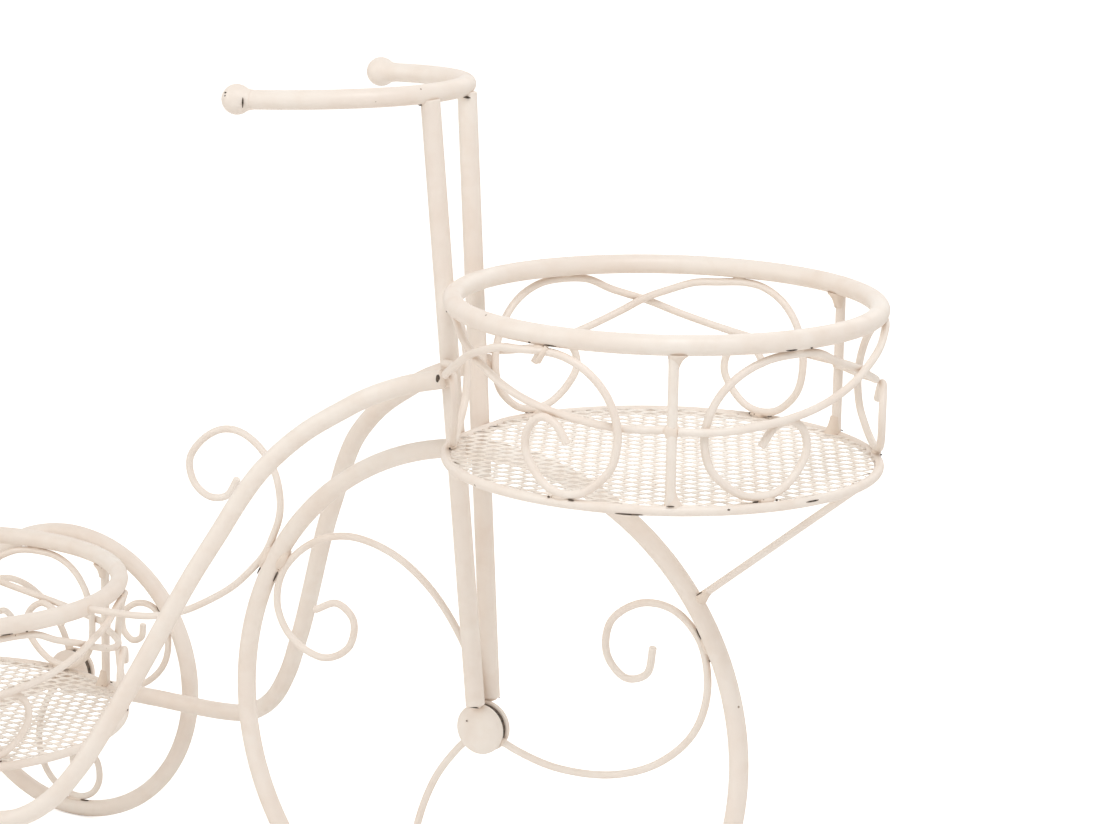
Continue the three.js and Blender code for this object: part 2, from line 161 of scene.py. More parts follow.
# Polyester powder coat, sprayed and baked on mild steel: satin, faintly dimpled, a little peach in random
# clouds, with pinholes that show brown steel. Painted shade darkens it towards the same peach in corners and
# between parts. Sizes and depths are in millimetres.
ivoryPowderCoat = {
    "pale": "#F4EEE7",
    "warm": "#F0E6DD",
    "deep": "#E2D0C0",
    "pinhole": "#8A7560",
    "patch": 55,
    "patchEdges": (0.32, 0.66),
    "cloud": 11,
    "cloudEdges": (0.45, 0.8),
    "cloudShare": 0.3,
    # painted shade: the coat turns towards its deep colour where ambient occlusion finds corners and gaps
    # between parts
    "paintedShadeReach": 6,
    "paintedShadeEdges": (0.25, 0.85),
    "paintedShadeShare": 0.55,
    "pinholeSpacing": 20,
    "pinholes": 0.022,
    "pinholeEdge": 1.8,
    "pinholeShare": 0.8,
    "roughness": (0.36, 0.52),
    "sheenEdges": (0.3, 0.7),
    "bump": 0.12,
    "waveDepth": 0.6,
    "dimple": 1.7,
    "dimpleDepth": 0.15,
}

# The same coat where it runs over weld metal: thicker, lumpier, with burnt specks.
weldCoat = dict(ivoryPowderCoat, pale="#F0E6DC", warm="#E8DACC", dimple=1.1, bump=0.25, pinholeSpacing=4,
                pinholes=0.07, roughness=(0.4, 0.6))

# The same coat on the expanded metal: thin on the sheared edges and rougher. Its paler colour is painted
# light, standing in for the light that the tray's up-facing strands catch.
paintedLitMeshCoat = dict(ivoryPowderCoat, pale="#FFFBF5", warm="#FCF4EB", deep="#F0E3D6", patch=24, cloud=5,
                bump=0.1, roughness=(0.42, 0.6), pinholes=0.015)

# Bare mild steel down in the gaps that the powder missed: dull brown-black with grey grain.
uncoatedSteel = {
    "dark": "#2E2A26",
    "grey": "#7B6A5B",
    "grain": 1.5,
    "grainEdges": (0.35, 0.75),
    "grainDepth": 0.3,
    "bump": 0.5,
    "roughness": 0.75,
}


def powderCoat(name, coat):
    made, tree = newMaterial(name)
    place = addNode(tree, "ShaderNodeTexCoord").outputs["Object"]
    patches = addNoise(tree, place, coat["patch"], 3.0)
    clouds = addNoise(tree, place, coat["cloud"], 4.0)
    dimples = addNoise(tree, place, coat["dimple"], 2.0)
    deep = linearColour(coat["deep"])
    base = addRamp(tree, patches, zip(coat["patchEdges"], (coat["warm"], coat["pale"])))
    cloudy = mixColours(tree, remap(tree, clouds, *coat["cloudEdges"], 0.0, coat["cloudShare"]), base, deep)
    # painted shade: ambient occlusion darkens the coat in corners and between parts
    corners = addNode(tree, "ShaderNodeAmbientOcclusion", {"samples": 8}, Distance=coat["paintedShadeReach"] * mm)
    paintedShade = remap(tree, corners.outputs["AO"], *coat["paintedShadeEdges"], coat["paintedShadeShare"], 0.0)
    shadedColour = mixColours(tree, paintedShade, cloudy, deep)
    cells = addNode(tree, "ShaderNodeTexVoronoi", Vector=place, Scale=perMetre(coat["pinholeSpacing"]))
    holes = remap(tree, cells.outputs["Distance"], coat["pinholes"], coat["pinholes"] * coat["pinholeEdge"],
                  coat["pinholeShare"], 0.0, "SMOOTHSTEP")
    colour = mixColours(tree, holes, shadedColour, linearColour(coat["pinhole"]))
    waves = addBump(tree, clouds, coat["bump"], coat["waveDepth"])
    peel = addBump(tree, dimples, coat["bump"], coat["dimpleDepth"], Normal=waves)
    coated = addNode(tree, "ShaderNodeBsdfPrincipled", IOR=1.5, Normal=peel,
                     Roughness=remap(tree, clouds, *coat["sheenEdges"], *coat["roughness"]))
    tree.links.new(colour, coated.inputs["Base Color"])
    addNode(tree, "ShaderNodeOutputMaterial", Surface=coated.outputs["BSDF"])
    return made


def bareSteel(name, steel):
    made, tree = newMaterial(name)
    place = addNode(tree, "ShaderNodeTexCoord").outputs["Object"]
    grain = addNoise(tree, place, steel["grain"], 4.0)
    colour = addRamp(tree, grain, zip(steel["grainEdges"], (steel["dark"], steel["grey"])))
    rough = addBump(tree, grain, steel["bump"], steel["grainDepth"])
    bare = addNode(tree, "ShaderNodeBsdfPrincipled", Roughness=steel["roughness"], Normal=rough)
    tree.links.new(colour, bare.inputs["Base Color"])
    addNode(tree, "ShaderNodeOutputMaterial", Surface=bare.outputs["BSDF"])
    return made


paint = powderCoat("powderCoatIvorySatin", ivoryPowderCoat)
weldPaint = powderCoat("powderCoatIvoryOverWeld", weldCoat)
# painted light: the expanded metal's coat is paler, to stand in for the light on the up-facing tray
paintedLitMeshPaint = powderCoat("powderCoatIvoryExpandedMetalPaintedLight", paintedLitMeshCoat)
steelGap = bareSteel("mildSteelUncoated", uncoatedSteel)
print("finishes mixed")


# Curve through the points with centripetal spacing, cut into even steps of about `step` mm.
def bend(points, step):
    ends = [points[0] * 2 - points[1], *points, points[-1] * 2 - points[-2]]
    cuts = 24
    fine = []
    for i in range(1, len(ends) - 2):
        p0, p1, p2, p3 = ends[i - 1:i + 3]
        d0, d1, d2 = ((b - a).length ** 0.5 for a, b in ((p0, p1), (p1, p2), (p2, p3)))
        in1 = ((p1 - p0) / d0 - (p2 - p0) / (d0 + d1) + (p2 - p1) / d1) * d1
        in2 = ((p2 - p1) / d1 - (p3 - p1) / (d1 + d2) + (p3 - p2) / d2) * d1
        for k in range(cuts):
            t = k / cuts
            fine.append(p1 + in1 * t + (-p1 * 3 + p2 * 3 - in1 * 2 - in2) * t * t
                        + (p1 * 2 - p2 * 2 + in1 + in2) * t * t * t)
    fine.append(points[-1])
    return even(fine, step)


def even(fine, step):
    lengths = [0]
    for a, b in zip(fine, fine[1:]):
        lengths.append(lengths[-1] + (b - a).length)
    count = max(2, ceil(lengths[-1] / (step * mm)))
    path = []
    k = 0
    for i in range(count + 1):
        want = lengths[-1] * i / count
        while k < len(fine) - 2 and lengths[k + 1] < want:
            k += 1
        span = lengths[k + 1] - lengths[k]
        path.append(fine[k].lerp(fine[k + 1], (want - lengths[k]) / span if span else 0))
    return path


def firstSide(along):
    helper = Vector((0, 0, 1)) if abs(along.z) < 0.9 else Vector((1, 0, 0))
    return along.cross(helper).normalized()


def addRing(mesh, centre, side, other, radius, count):
    turns = [2 * pi * k / count for k in range(count)]
    return [mesh.verts.new(centre + (side * cos(turn) + other * sin(turn)) * radius) for turn in turns]


# Faces between neighbouring rings; a ring of one corner is the tip of a turned form.
def joinRings(mesh, rings, count):
    for a, b in zip(rings, rings[1:]):
        for k in range(count):
            n = (k + 1) % count
            corners = (a[k % len(a)], a[n % len(a)], b[n % len(b)], b[k % len(b)])
            mesh.faces.new(list(dict.fromkeys(corners)))


# what filing takes off a sawn end: millimetres, and at most this share of the radius
sawnEdge, sawnShare = 0.45, 0.2


# A round bar or tube along a path, its sawn ends barely rounded over.
def addBar(mesh, path, radius, sides, closed=False):
    count = len(path)
    alongs = []
    for i in range(count):
        before = path[i - 1] if closed or i else path[i]
        after = path[(i + 1) % count] if closed or i < count - 1 else path[i]
        alongs.append((after - before).normalized())
    stops = [(path[i], alongs[i], radius * mm) for i in range(count)]
    if not closed:
        edge = min(sawnEdge, radius * sawnShare)
        first, last = stops[0], stops[-1]
        stops[0] = (first[0] + first[1] * edge * mm, first[1], radius * mm)
        stops[-1] = (last[0] - last[1] * edge * mm, last[1], radius * mm)
        stops.insert(0, (first[0], first[1], (radius - edge) * mm))
        stops.append((last[0], last[1], (radius - edge) * mm))
    side = firstSide(stops[0][1])
    rings = []
    last = stops[0][1]
    for place, along, size in stops:
        side = last.rotation_difference(along) @ side
        side = (side - along * side.dot(along)).normalized()
        last = along
        rings.append(addRing(mesh, place, side, along.cross(side), size, sides))
    if closed:
        # match the last ring to the first, however far the frame has turned on the way
        turned = last.rotation_difference(stops[0][1]) @ side
        start = rings[0][0].co - path[0]
        other = alongs[0].cross(turned)
        angle = atan2(start.dot(other), start.dot(turned))
        shift = round(angle / (2 * pi) * sides) % sides
        rings.append([rings[0][(k - shift) % sides] for k in range(sides)])
    joinRings(mesh, rings, sides)
    if not closed:
        mesh.faces.new(list(reversed(rings[0])))
        mesh.faces.new(rings[-1])


# A turned or pressed form: (radius, along) pairs round a line through `centre`.
def addTurned(mesh, profile, centre, axis, sides):
    side = firstSide(axis)
    other = axis.cross(side)
    rings = []
    for radius, along in profile:
        place = centre + axis * along * mm
        rings.append(addRing(mesh, place, side, other, radius * mm, sides if radius else 1))
    joinRings(mesh, rings, sides)


# coarse and fine waves on the skin of a weld, per half size, and the fine ones' share
weldSkin = {"coarse": 1.6, "fine": 4.1, "fineShare": 0.5}


# A lump of weld or filler under the paint, `size` in mm along `along`, across and up.
def addLump(mesh, centre, along, size, seed, rough=0.16):
    made = bmesh.ops.create_icosphere(mesh, subdivisions=3, radius=1)["verts"]
    side = firstSide(along)
    other = along.cross(side)
    coarseShift, fineShift = Vector((seed * 3.7, seed, 0)), Vector((seed, 0, seed * 2.3))
    for vert in made:
        p = vert.co.copy()
        swell = 1 + rough * noise.noise(p * weldSkin["coarse"] + coarseShift)
        swell += rough * weldSkin["fineShare"] * noise.noise(p * weldSkin["fine"] + fineShift)
        out = along * p.x * size[0] + side * p.y * size[1] + other * p.z * size[2]
        vert.co = centre + out * swell * mm


def finishPiece(name, mesh, material, nodes=(), sharp=40):
    bmesh.ops.recalc_face_normals(mesh, faces=mesh.faces)
    data = bpy.data.meshes.new(name)
    mesh.to_mesh(data)
    mesh.free()
    piece = bpy.data.objects.new(name, data)
    scene.collection.objects.link(piece)
    data.materials.append(material)
    data.shade_smooth()
    data.set_sharp_from_angle(angle=radians(sharp))
    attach(piece, "root")
    if nodes:
        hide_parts(*nodes)
    return piece


def barPiece(name, path, kind, node, closed=False):
    mesh = bmesh.new()
    addBar(mesh, path, stock[kind] / 2, facets[kind], closed)
    finishPiece(name, mesh, paint, [node])


wheels = {
    "frontRadius": 148,
    "rearRadius": 86,
    "wheelbase": 362,
    "halfTrack": 130,
    "frontTurns": (0, 123, 235.5),
    "rearTurns": (0, 120, 240),
    "frontSteps": 160,
    "rearSteps": 112,
    "discRadius": 13.5,
    "discStart": 2.1,
    "discDepth": 6,
    "axleSink": 0.2,
    # a scroll starts this far from the hub's middle, at this angle, and bites a little into the rim
    "scrollStart": (6, 5),
    "bite": 0.15,
    # share of the radius and degrees round the hub
    "scroll": [(0.159, 10.3), (0.327, 16.5), (0.547, 25.4), (0.728, 33.8), (0.876, 43), (0.962, 52.4),
               (0.998, 62.6), (0.962, 70.6), (0.865, 76.2), (0.714, 77.6), (0.625, 70), (0.653, 60.6),
               (0.742, 59.7), (0.812, 65.7)],
}
hubHeight = wheels["frontRadius"] + tubeRadius
axleHeight = wheels["rearRadius"] + tubeRadius
axleX = -wheels["wheelbase"]


def wheelAt(end, mark, x, y):
    return {"name": f"{end}Wheel", "node": f"{end}_wheel", "mark": mark, "x": x, "y": y,
            "radius": wheels[f"{end}Radius"], "turns": wheels[f"{end}Turns"], "steps": wheels[f"{end}Steps"]}


frontWheel = wheelAt("front", "", 0, 0)
rearWheels = [wheelAt("rear", f"_{side}", axleX, sign * wheels["halfTrack"]) for side, sign in bothSides]


# The point `reach` mm from a hub's middle, `angle` degrees back from straight up.
def wheelSpot(wheel, angle, reach, out=0):
    a = radians(angle)
    return at(wheel["x"] - reach * sin(a), wheel["y"] + out, wheel["radius"] + tubeRadius + reach * cos(a))


def rimPath(wheel):
    x, y, radius, steps = (wheel[key] for key in ("x", "y", "radius", "steps"))
    turns = [2 * pi * i / steps for i in range(steps)]
    return [at(x + radius * cos(turn), y, radius + tubeRadius + radius * sin(turn)) for turn in turns]


def wheelScroll(wheel, turn):
    reach = wheel["radius"] - tubeRadius - wireRadius + wheels["bite"]
    startReach, startAngle = wheels["scrollStart"]
    points = [wheelSpot(wheel, startAngle + turn, startReach)]
    points += [wheelSpot(wheel, angle + turn, reach * share) for share, angle in wheels["scroll"]]
    return bend(points, wireStep)


# Pressed hub disc: a flat collar that domes up to a small level top.
def hubDisc(name, centre, outward, node):
    start, depth, wide = wheels["discStart"], wheels["discDepth"], wheels["discRadius"]
    top = start + depth
    profile = [(0, start), (wide - 0.8, start), (wide - 0.2, start + 0.3), (wide, start + 1),
               (wide - 0.1, start + 2.2), (wide - 0.8, start + 3.2), (wide * 0.86, top - 1.9),
               (wide * 0.7, top - 0.85), (wide * 0.5, top - 0.3), (wide * 0.3, top - 0.08), (0, top)]
    mesh = bmesh.new()
    addTurned(mesh, profile, centre, outward, facets["disc"])
    finishPiece(name, mesh, paint, [node], sharp=60)


def buildWheel(wheel):
    name, node, mark = wheel["name"], wheel["node"], wheel["mark"]
    barPiece(f"{name}Rim{mark}", rimPath(wheel), "tube", f"{node}_rim{mark}", True)
    for i, turn in enumerate(wheel["turns"]):
        barPiece(f"{name}Scroll{mark}{i + 1}", wheelScroll(wheel, turn), "wire",
                 f"{node}_scroll{mark}_{i + 1}")
    for side, sign in bothSides:
        hubDisc(f"{name}Hub{mark}_{side}", wheelSpot(wheel, 0, 0), Vector((0, sign, 0)),
                f"{node}_hub{mark}_{side}")


for wheel in (frontWheel, *rearWheels):
    buildWheel(wheel)

axleEnd = wheels["halfTrack"] - wheels["discStart"] - wheels["discDepth"] + wheels["axleSink"]
barPiece("rearAxle", even([at(axleX, -axleEnd, axleHeight), at(axleX, axleEnd, axleHeight)], 4), "tube",
         "rear_axle")
print("wheels built")


fork = {
    "footSpread": 15.6,
    "headSpread": 36,
    "setBack": 0.5,
    "rake": 25.5,
    # left under the bar and over the disc for the weld, and how far the tube runs up into it
    "clear": 0.3,
    "headRun": 2.5,
    "barHeight": 484.5,
    "barSink": 0.35,
    "nose": 1,
    "reach": 83.5,
    "gripSpread": 136,
    "drop": 0.05,
    # how wide the bar's nose is bent, where it turns back, and how wide it is there
    "noseShare": 0.57,
    "turnShare": 0.45,
    "turnWidth": 0.955,
    "ball": 15.5,
    # cast neck where a ball is welded to the bar: radius and distance from the ball's middle
    "neck": [(0, -9.2), (5.05, -9.2), (5.2, -8), (5.35, -7), (5.6, -6.1), (6, -5.2)],
    "neckAngle": -38,
}
forkLean = atan((fork["rake"] - fork["setBack"]) / (fork["barHeight"] - hubHeight))
forkTilt = tubeRadius * sin(forkLean)
forkFoot = hubHeight + wheels["discRadius"] + fork["clear"] + forkTilt
forkHead = fork["barHeight"] - tubeRadius - fork["clear"] - forkTilt


def forkAt(height, sign):
    share = (height - forkFoot) / (forkHead - forkFoot)
    spread = fork["footSpread"] + (fork["headSpread"] - fork["footSpread"]) * share
    behind = fork["setBack"] + (fork["rake"] - fork["setBack"]) * share
    return Vector((-behind, sign * spread / 2, height))


def barPoint(x, y):
    return at(x, y, fork["barHeight"] - fork["barSink"] + fork["drop"] * (x + fork["rake"]))


# Half of the bar, one cubic curve from its nose to a grip.
def barHalf(sign):
    nose, reach = fork["nose"] - fork["rake"], fork["reach"]
    half = sign * fork["gripSpread"] / 2
    a, b = barPoint(nose, 0), barPoint(nose, half * fork["noseShare"])
    c = barPoint(nose - reach * fork["turnShare"], half * fork["turnWidth"])
    d = barPoint(nose - reach, half)
    cuts = 60
    points = []
    for i in range(cuts + 1):
        t = i / cuts
        points.append(a * (1 - t) ** 3 + b * 3 * t * (1 - t) ** 2 + c * 3 * t * t * (1 - t) + d * t ** 3)
    return points


def gripBall(side, end, outward):
    size, start, cuts = fork["ball"] / 2, fork["neckAngle"], 14
    angles = [radians(start + (90 - start) * i / cuts) for i in range(cuts)]
    profile = [*fork["neck"], *((size * cos(a), size * sin(a)) for a in angles), (0, size)]
    mesh = bmesh.new()
    addTurned(mesh, profile, end, outward, facets["ball"])
    finishPiece(f"gripBall_{side}", mesh, paint, [f"handlebar_ball_{side}"], sharp=70)


for side, sign in bothSides:
    ends = [at(*forkAt(forkFoot, sign)), at(*forkAt(forkHead + fork["headRun"], sign))]
    barPiece(f"forkTube_{side}", even(ends, 6), "tube", f"fork_tube_{side}")

rightHalf, leftHalf = barHalf(-1), barHalf(1)
barPath = even([*reversed(rightHalf), *leftHalf[1:]], 2)
# the bar stops two steps short of each ball's middle
barPiece("handlebar", barPath[2:-2], "tube", "handlebar")
for side, half in (("left", leftHalf), ("right", rightHalf)):
    gripBall(side, half[-1], (half[-1] - half[-3]).normalized())
print("fork and handlebar built")


rails = {
    # distance behind the front hub and height above it
    "profile": [(13, 188), (33, 183), (54, 174.5), (70, 165), (85, 155), (98, 143.5), (109, 131),
                (118, 116.5), (126.5, 99.5), (138.5, 76), (148, 55), (157, 34), (169, 7), (174.5, -4),
                (186, -26), (202, -47), (220, -58.5)],
    "levelStart": 240,
    "levelShares": (0, 0.4, 0.75, 1),
    "axleLap": 0.5,
    "splay": 3,
    "lean": 17,
}
railHead = hubHeight + rails["profile"][0][1]
railHeadOut = forkAt(railHead, 1).y + stock["tube"]


def railPoint(behind, height, sign):
    splay = tan(radians(rails["splay"])) * (min(behind, rails["levelStart"]) - rails["profile"][0][0])
    lean = tan(radians(rails["lean"])) * (railHead - height)
    return at(-behind, sign * (railHeadOut + splay + lean), height)


def railPath(sign):
    points = [railPoint(behind, hubHeight + up, sign) for behind, up in rails["profile"]]
    start, end = rails["levelStart"], wheels["wheelbase"] - tubeRadius + rails["axleLap"]
    points += [railPoint(start + (end - start) * share, axleHeight, sign) for share in rails["levelShares"]]
    return bend(points, tubeStep)


for side, sign in bothSides:
    barPiece(f"frameRail_{side}", railPath(sign), "tube", f"frame_rail_{side}")
print("rails built")


basket = {
    "ringRadius": 105.1,
    "trayRodRadius": 107.6,
    "wallRadius": 106.2,
    "hoopSteps": 144,
    "lane": 1.95,
    "frontX": 100.2,
    "height": 78.7,
    "frontTray": 310.6,
    "postAngle": 60.5,
    # how far a post's ends sink into the ring and the tray rod
    "postSink": 0.3,
    # degrees from the start and share of the wall's height
    "postArm": [(9.5, 0.495), (17, 0.505), (25, 0.533), (34.5, 0.575), (44, 0.637), (53, 0.715),
                (62, 0.81), (72, 0.9)],
    "forkArm": [(26, 0.51), (39, 0.61), (50, 0.74), (57, 0.84), (64, 0.91), (71, 0.97)],
    # degrees back from the loop's furthest point and share of the wall's height
    "loop": [(32, 0.985), (23, 1), (16, 0.975), (9, 0.885), (3.5, 0.735), (0.5, 0.55), (0, 0.4),
             (1.5, 0.23), (5, 0.115), (10.5, 0.02), (16.5, 0), (21.5, 0.04), (26.5, 0.16), (29.2, 0.3),
             (28, 0.44), (23.5, 0.53), (19, 0.495), (15, 0.36)],
    # furthest degrees and width of a loop
    "postLoop": (112.5, 1.03),
    "rearLoop": (110, 0.97),
    "forkLoop": (106, 0.88),
    # a fork scroll lies on the tube, comes away from it, and joins its lane at these degrees
    "forkStart": ((0, 0), (6, 1.2)),
    "forkJoin": 13.8,
}
# millimetres and degrees: the opening of one diamond, corner to corner, its strand and their tilt, and the
# rows' turn from straight ahead
expandedMetal = {
    "long": 14,
    "short": 8.8,
    "strand": 2.35,
    "tilt": 0.15,
    "thick": 0.5,
    "lift": 1.2,
    "turn": 27,
    # how much of the strand a gap gives up across its narrow and its long way
    "narrowShare": 0.6,
    "longShare": 1.1,
    # the drawing leaves corners out of place by up to `uneven`, in waves of `waver`
    "uneven": 1.2,
    "waver": 4.8,
    "noiseSlices": (2, 35),
    # how far the sheet laps over the rod, and how far beyond it a diamond is still begun
    "lap": 0.6,
    "beyond": 1.2,
    "hair": 0.05,
}


def wallPoint(place, angle, height, out=0):
    radius = basket["wallRadius"] + out
    a = radians(angle)
    return at(place["x"] + radius * cos(a), radius * sin(a), height)


# A level hoop, flattened `back` mm behind the basket's middle.
def hoopPath(place, radius, height, back=inf):
    steps = basket["hoopSteps"]
    turns = [2 * pi * i / steps for i in range(steps)]
    return [at(place["x"] + max(radius * cos(turn), -back), radius * sin(turn), height) for turn in turns]


def scrollPath(place, scroll):
    low = place["tray"] + rodRadius + wireRadius
    high = place["tray"] + basket["height"] - tubeRadius - wireRadius
    origin, sign, lane = scroll["origin"], scroll["sign"], scroll["lane"]
    furthest, width = basket[scroll["loop"]]
    route = list(scroll["start"])
    route += [(angle, share, lane) for angle, share in basket[scroll["arm"]]]
    route += [(furthest - back * width, share, lane) for back, share in basket["loop"]]
    return bend([wallPoint(place, origin + sign * angle, low + (high - low) * share, out)
                 for angle, share, out in route], wireStep)


# Scrolls that run to the left and to the right keep to two lanes, so that they pass each other.
def postScroll(origin, sign, loop="postLoop"):
    lane = sign * basket["lane"]
    beside = degrees(stock["post"] / 2 / basket["wallRadius"])
    return {"origin": origin, "sign": sign, "lane": lane, "start": [(beside, 0.5, lane)], "arm": "postArm",
            "loop": loop}


# A scroll that starts on the outer side of a fork tube and bends forwards into the wall.
def forkScroll(sign):
    lane = sign * basket["lane"]
    tube = forkAt(basket["frontTray"] + basket["height"] / 2, 1)
    outside = tube.y + tubeRadius + wireRadius
    start = []
    for along, out in basket["forkStart"]:
        x, y = basket["frontX"] - tube.x - along, outside + out
        start.append((degrees(atan2(y, x)), 0.5, hypot(x, y) - basket["wallRadius"]))
    start.append((basket["forkJoin"], 0.5, (lane + wireRadius) / 2))
    return {"origin": 180, "sign": sign, "lane": lane, "start": start, "arm": "forkArm", "loop": "forkLoop"}


# Expanded metal, slit and drawn from one sheet: staggered diamonds whose strands stand tilted, a little
# uneven from the drawing, cut to the rod.
def buildTray(place, name, node):
    halfLong, halfShort = expandedMetal["long"] / 2, expandedMetal["short"] / 2
    gapLong = halfLong - expandedMetal["strand"] * expandedMetal["longShare"]
    gapShort = halfShort - expandedMetal["strand"] * expandedMetal["narrowShare"]
    rise, beyond, lift = (expandedMetal[key] for key in ("tilt", "beyond", "lift"))
    uneven, waver = expandedMetal["uneven"], expandedMetal["waver"]
    edge = basket["trayRodRadius"] - rodRadius + expandedMetal["lap"]
    back = place["back"] - stock["trayRod"] + expandedMetal["lap"]
    rows, columns = ceil(edge / halfShort) + 1, ceil(edge / halfLong) + 1
    turn = radians(expandedMetal["turn"])
    mesh = bmesh.new()
    made, spots, onRod = {}, {}, set()

    # two slices of one fixed noise, so that each run draws the same sheet
    def onSheet(along, near):
        shifts = [noise.noise(Vector((along, near, depth)) / waver) * uneven
                  for depth in expandedMetal["noiseSlices"]]
        along, near = along + shifts[0], near + shifts[1]
        return along * cos(turn) + near * sin(turn), along * sin(turn) - near * cos(turn)

    # a corner of a strand, drawn in to the rod where it would lie beyond
    def corner(key, along, near, z):
        if key not in made:
            x, y = onSheet(along, near)
            far = hypot(x, y)
            cut = far > edge or x < -back
            if far > edge:
                x, y, z = x * edge / far, y * edge / far, 0
            if x < -back:
                x, z = -back, 0
            # strands that are cut within a hair of each other share a corner
            spot = tuple(round(value / expandedMetal["hair"]) for value in (x, y, z))
            if spot not in spots:
                spots[spot] = mesh.verts.new(at(place["x"] + x, y, place["tray"] + lift + z))
            made[key] = spots[spot]
            if cut:
                onRod.add(spots[spot])
        return made[key]

    for i in range(-rows, rows + 1):
        for j in range(-columns, columns + 1):
            near, along = i * halfShort, j * halfLong
            x, y = onSheet(along, near)
            if (i + j) % 2 or hypot(x, y) > edge + beyond or x < -back - beyond:
                continue
            outer = [corner((i + 1, j), along, near + halfShort, 0),
                     corner((i, j + 1), along + halfLong, near, 0),
                     corner((i - 1, j), along, near - halfShort, 0),
                     corner((i, j - 1), along - halfLong, near, 0)]
            inner = [corner(("gap", i, j, 0), along, near + gapShort, -rise),
                     corner(("gap", i, j, 1), along + gapLong, near, 0),
                     corner(("gap", i, j, 2), along, near - gapShort, rise),
                     corner(("gap", i, j, 3), along - gapLong, near, 0)]
            for k in range(4):
                n = (k + 1) % 4
                strandFace = list(dict.fromkeys((outer[k], outer[n], inner[n], inner[k])))
                if len(strandFace) > 2 and not all(vert in onRod for vert in strandFace):
                    mesh.faces.new(strandFace)
    bmesh.ops.delete(mesh, geom=[vert for vert in mesh.verts if not vert.link_faces], context="VERTS")
    piece = finishPiece(name, mesh, paintedLitMeshPaint, [node], 30)
    thick = piece.modifiers.new("sheetThickness", "SOLIDIFY")
    thick.thickness = expandedMetal["thick"] * mm
    thick.offset = 0


def postPath(place, angle):
    low = place["tray"] + rodRadius - basket["postSink"]
    high = place["tray"] + basket["height"] - tubeRadius + basket["postSink"]
    return even([wallPoint(place, angle, low), wallPoint(place, angle, high)], 4)


def buildBasket(place):
    name, node = place["name"], place["node"]
    ring = hoopPath(place, basket["ringRadius"], place["tray"] + basket["height"])
    rod = hoopPath(place, basket["trayRodRadius"], place["tray"], place["back"] - rodRadius)
    barPiece(f"{name}TopRing", ring, "tube", f"{node}_top_ring", True)
    barPiece(f"{name}TrayRod", rod, "trayRod", f"{node}_tray_rod", True)
    buildTray(place, f"{name}Tray", f"{node}_tray")
    for i, angle in enumerate(place["posts"]):
        barPiece(f"{name}Post{i + 1}", postPath(place, angle), "post", f"{node}_post_{i + 1}")
    for i, scroll in enumerate(place["scrolls"]):
        barPiece(f"{name}Scroll{i + 1}", scrollPath(place, scroll), "wire", f"{node}_scroll_{i + 1}")


postAngle = basket["postAngle"]
rearPosts = [postAngle, -postAngle, 180]
frontBasket = {
    "name": "frontBasket",
    "node": "front_basket",
    "x": basket["frontX"],
    "tray": basket["frontTray"],
    "back": basket["frontX"] - forkAt(basket["frontTray"], 1).x - tubeRadius / cos(forkLean),
    "posts": [postAngle, -postAngle],
    "scrolls": [forkScroll(1), forkScroll(-1),
                postScroll(postAngle, 1, "rearLoop"), postScroll(postAngle, -1),
                postScroll(-postAngle, 1), postScroll(-postAngle, -1, "rearLoop")],
}
rearBasket = {
    "name": "rearBasket",
    "node": "rear_basket",
    "x": axleX,
    "tray": axleHeight + tubeRadius + 0.3 + rodRadius,  # the rod stands 0.3 mm clear on its welds
    "back": inf,
    "posts": rearPosts,
    "scrolls": [postScroll(angle, sign) for angle in rearPosts for sign in (1, -1)],
}
buildBasket(frontBasket)
buildBasket(rearBasket)
print("baskets built")


braces = {
    "slope": 39,
    "rodClear": 0.2,
    "touch": 62,
    "ringSink": 0.4,
    # distance behind the touch with the front rim and height above it
    "scroll": [(76, -46), (54, -40), (37, -31.5), (20, -20.5), (8.5, -9.8), (0, 0), (-5.8, 11.4),
               (-9.8, 23), (-9.8, 35), (-6, 47.5), (3, 58.6), (15, 65.2), (27, 65.2), (40, 57.6),
               (48, 45.6), (45, 33.6), (35, 27.2), (24, 29.2), (17, 39.6)],
}


def braceEnds():
    slope = radians(braces["slope"])
    away = Vector((cos(slope), 0, sin(slope)))
    end = Vector((basket["frontX"] + basket["trayRodRadius"], 0, basket["frontTray"]))
    end -= away * (rodRadius + braces["rodClear"])
    fromHub = end - Vector((0, 0, hubHeight))
    along = fromHub.dot(away)
    across = sqrt(fromHub.length_squared - along ** 2) - wireRadius
    start = end + away * (sqrt((wheels["frontRadius"] + tubeRadius) ** 2 - across ** 2) - along)
    return at(*start), at(*end)


def centrePath():
    reach = wheels["frontRadius"] + tubeRadius + wireRadius
    touch = radians(braces["touch"])
    front = rearBasket["x"] + basket["ringRadius"] + tubeRadius - braces["ringSink"]
    points = [at(front, 0, rearBasket["tray"] + basket["height"])]
    points += [at(-reach * sin(touch) - behind, 0, hubHeight + reach * cos(touch) + up)
               for behind, up in braces["scroll"]]
    return bend(points, wireStep)


barPiece("basketBrace", even(list(braceEnds()), 3), "brace", "basket_brace")
barPiece("centreScroll", centrePath(), "wire", "centre_scroll")
print("braces built")


# flare of a rod into what it is welded to: distance from the joint and radius
flares = {
    "postHead": [(-1, 5.0), (0, 4.8), (0.9, 4.1), (2.2, 3.4), (4, 2.9), (6.5, 2.4)],
    "postFoot": [(-1, 4.4), (0, 4.2), (1.2, 3.8), (3, 3.2), (5.5, 2.75), (8, 2.4)],
    "braceStart": [(-1.5, 3.4), (0, 3.2), (1.6, 2.8), (3.6, 2.3), (6, 1.9)],
    "braceEnd": [(-0.6, 2.9), (0.4, 2.6), (2, 2.2), (4, 1.9)],
    "leanShare": 0.8,
}
